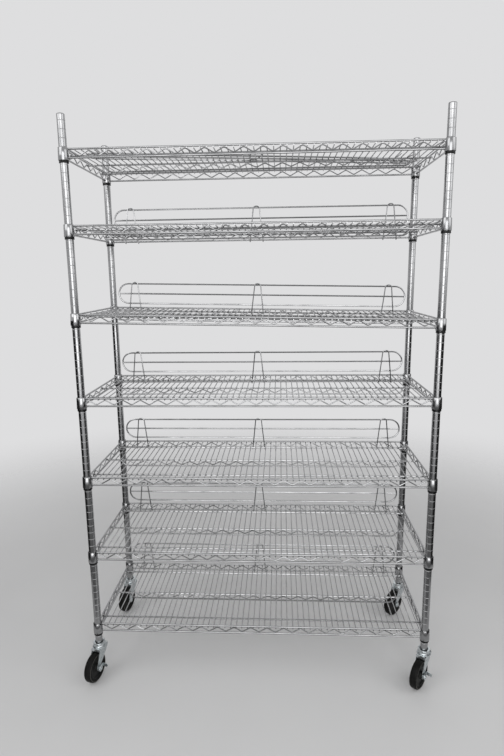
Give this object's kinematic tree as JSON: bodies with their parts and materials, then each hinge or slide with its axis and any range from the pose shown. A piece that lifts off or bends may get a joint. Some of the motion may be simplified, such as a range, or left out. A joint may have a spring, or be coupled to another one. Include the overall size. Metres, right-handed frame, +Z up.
{
  "type": "bakery bread rack",
  "caption": "Free-standing chrome wire bread rack: grooved posts on swivel casters carry adjustable welded wire shelves with clip-on back ledges.",
  "frame": {"origin": "on the floor, under the middle of the rack's outline", "axes": "+Z up along the posts, +X to the right along the shelves as seen from the front, -Y out of the front"},
  "size_m": [1.2358, 0.5366, 1.9318],
  "materials": {
    "chrome_plated_steel": "bright plated, light handling scuffs",
    "zinc_plated_steel": "dull bright zinc plating on pressed steel",
    "black_moulded_plastic": "fine moulded texture",
    "black_rubber": "matt, dusty tread"
  },
  "bodies": {
    "rack_frame": {"post_front_left": "chrome_plated_steel", "caster_stem_front_left": "zinc_plated_steel", "sleeve_1_front_left": "black_moulded_plastic", "sleeve_2_front_left": "black_moulded_plastic", "sleeve_3_front_left": "black_moulded_plastic", "sleeve_4_front_left": "black_moulded_plastic", "sleeve_5_front_left": "black_moulded_plastic", "sleeve_6_front_left": "black_moulded_plastic", "sleeve_7_front_left": "black_moulded_plastic", "post_front_right": "chrome_plated_steel", "caster_stem_front_right": "zinc_plated_steel", "sleeve_1_front_right": "black_moulded_plastic", "sleeve_2_front_right": "black_moulded_plastic", "sleeve_3_front_right": "black_moulded_plastic", "sleeve_4_front_right": "black_moulded_plastic", "sleeve_5_front_right": "black_moulded_plastic", "sleeve_6_front_right": "black_moulded_plastic", "sleeve_7_front_right": "black_moulded_plastic", "post_back_left": "chrome_plated_steel", "caster_stem_back_left": "zinc_plated_steel", "sleeve_1_back_left": "black_moulded_plastic", "sleeve_2_back_left": "black_moulded_plastic", "sleeve_3_back_left": "black_moulded_plastic", "sleeve_4_back_left": "black_moulded_plastic", "sleeve_5_back_left": "black_moulded_plastic", "sleeve_6_back_left": "black_moulded_plastic", "sleeve_7_back_left": "black_moulded_plastic", "post_back_right": "chrome_plated_steel", "caster_stem_back_right": "zinc_plated_steel", "sleeve_1_back_right": "black_moulded_plastic", "sleeve_2_back_right": "black_moulded_plastic", "sleeve_3_back_right": "black_moulded_plastic", "sleeve_4_back_right": "black_moulded_plastic", "sleeve_5_back_right": "black_moulded_plastic", "sleeve_6_back_right": "black_moulded_plastic", "sleeve_7_back_right": "black_moulded_plastic", "shelf_1": "chrome_plated_steel", "shelf_2": "chrome_plated_steel", "shelf_3": "chrome_plated_steel", "shelf_4": "chrome_plated_steel", "shelf_5": "chrome_plated_steel", "shelf_6": "chrome_plated_steel", "shelf_7": "chrome_plated_steel", "ledge_2": "chrome_plated_steel", "ledge_3": "chrome_plated_steel", "ledge_4": "chrome_plated_steel", "ledge_5": "chrome_plated_steel", "ledge_6": "chrome_plated_steel", "ledge_7": "chrome_plated_steel", "ledge_1_loose": "chrome_plated_steel"},
    "swivel_front_left": {"caster_fork_front_left": "zinc_plated_steel"},
    "wheel_front_left": {"caster_wheel_front_left": "black_rubber"},
    "brake_front_left": {"brake_lever_front_left": "zinc_plated_steel"},
    "swivel_front_right": {"caster_fork_front_right": "zinc_plated_steel"},
    "wheel_front_right": {"caster_wheel_front_right": "black_rubber"},
    "brake_front_right": {"brake_lever_front_right": "zinc_plated_steel"},
    "swivel_back_left": {"caster_fork_back_left": "zinc_plated_steel"},
    "wheel_back_left": {"caster_wheel_back_left": "black_rubber"},
    "swivel_back_right": {"caster_fork_back_right": "zinc_plated_steel"},
    "wheel_back_right": {"caster_wheel_back_right": "black_rubber"}
  },
  "joints": [
    {"name": "swivel_front_left", "type": "hinge", "parent": "rack_frame", "child": "swivel_front_left", "pos_m": [-0.58311, -0.18075, 0.122], "axis": [0, 0, 1], "continuous": true},
    {"name": "wheel_spin_front_left", "type": "hinge", "parent": "swivel_front_left", "child": "wheel_front_left", "pos_m": [-0.59243, -0.21552, 0.051], "axis": [0.9659, -0.2588, 0], "continuous": true},
    {"name": "brake_press_front_left", "type": "hinge", "parent": "swivel_front_left", "child": "brake_front_left", "pos_m": [-0.59243, -0.21552, 0.051], "axis": [-0.9659, 0.2588, 0], "range_deg": [0, 30]},
    {"name": "swivel_front_right", "type": "hinge", "parent": "rack_frame", "child": "swivel_front_right", "pos_m": [0.58889, -0.18075, 0.122], "axis": [0, 0, 1], "continuous": true},
    {"name": "wheel_spin_front_right", "type": "hinge", "parent": "swivel_front_right", "child": "wheel_front_right", "pos_m": [0.56672, -0.20912, 0.051], "axis": [0.788, -0.6157, 0], "continuous": true},
    {"name": "brake_press_front_right", "type": "hinge", "parent": "swivel_front_right", "child": "brake_front_right", "pos_m": [0.56672, -0.20912, 0.051], "axis": [-0.788, 0.6157, 0], "range_deg": [0, 30]},
    {"name": "swivel_back_left", "type": "hinge", "parent": "rack_frame", "child": "swivel_back_left", "pos_m": [-0.58311, 0.23925, 0.122], "axis": [0, 0, 1], "continuous": true},
    {"name": "wheel_spin_back_left", "type": "hinge", "parent": "swivel_back_left", "child": "wheel_back_left", "pos_m": [-0.59243, 0.20448, 0.051], "axis": [0.9659, -0.2588, 0], "continuous": true},
    {"name": "swivel_back_right", "type": "hinge", "parent": "rack_frame", "child": "swivel_back_right", "pos_m": [0.58889, 0.23925, 0.122], "axis": [0, 0, 1], "continuous": true},
    {"name": "wheel_spin_back_right", "type": "hinge", "parent": "swivel_back_right", "child": "wheel_back_right", "pos_m": [0.56343, 0.2138, 0.051], "axis": [0.7071, -0.7071, 0], "continuous": true}
  ]
}
